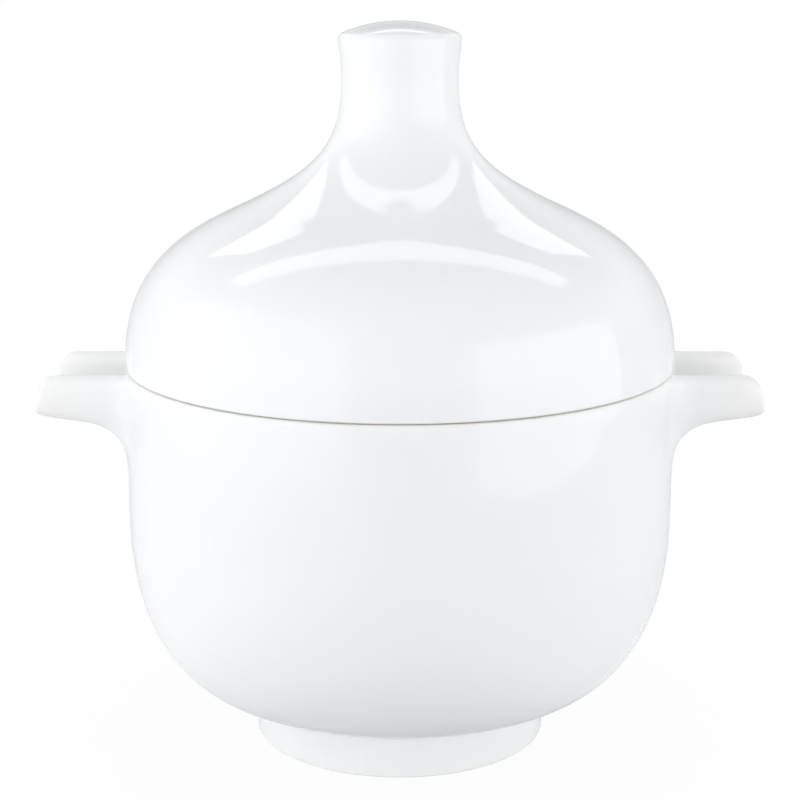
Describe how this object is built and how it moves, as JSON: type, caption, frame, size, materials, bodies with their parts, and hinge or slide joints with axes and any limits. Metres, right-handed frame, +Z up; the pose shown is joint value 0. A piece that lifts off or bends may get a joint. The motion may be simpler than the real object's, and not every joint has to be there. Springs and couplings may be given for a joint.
{
  "type": "lidded tureen",
  "caption": "Round porcelain tureen on a foot ring, with trough-shaped lug handles and a loose onion-domed lid that lifts off by its tall waisted knob.",
  "frame": {"origin": "on the table, in the middle of the foot ring", "axes": "+Z up along the axis of bowl and lid; the handles lie along X"},
  "size_m": [0.2638, 0.2006, 0.2639],
  "materials": {
    "glaze": "clear gloss glaze over white porcelain"
  },
  "bodies": {
    "bowl": {"bowl": "glaze", "foot_ring": "glaze", "handle_left": "glaze", "handle_right": "glaze"},
    "lid": {"lid_dome": "glaze", "lid_flange": "glaze", "lid_knob": "glaze"}
  },
  "joints": [
    {"name": "lid_lift", "type": "slide", "parent": "bowl", "child": "lid", "axis": [0, 0, 1], "range_m": [0, 0.12]}
  ]
}
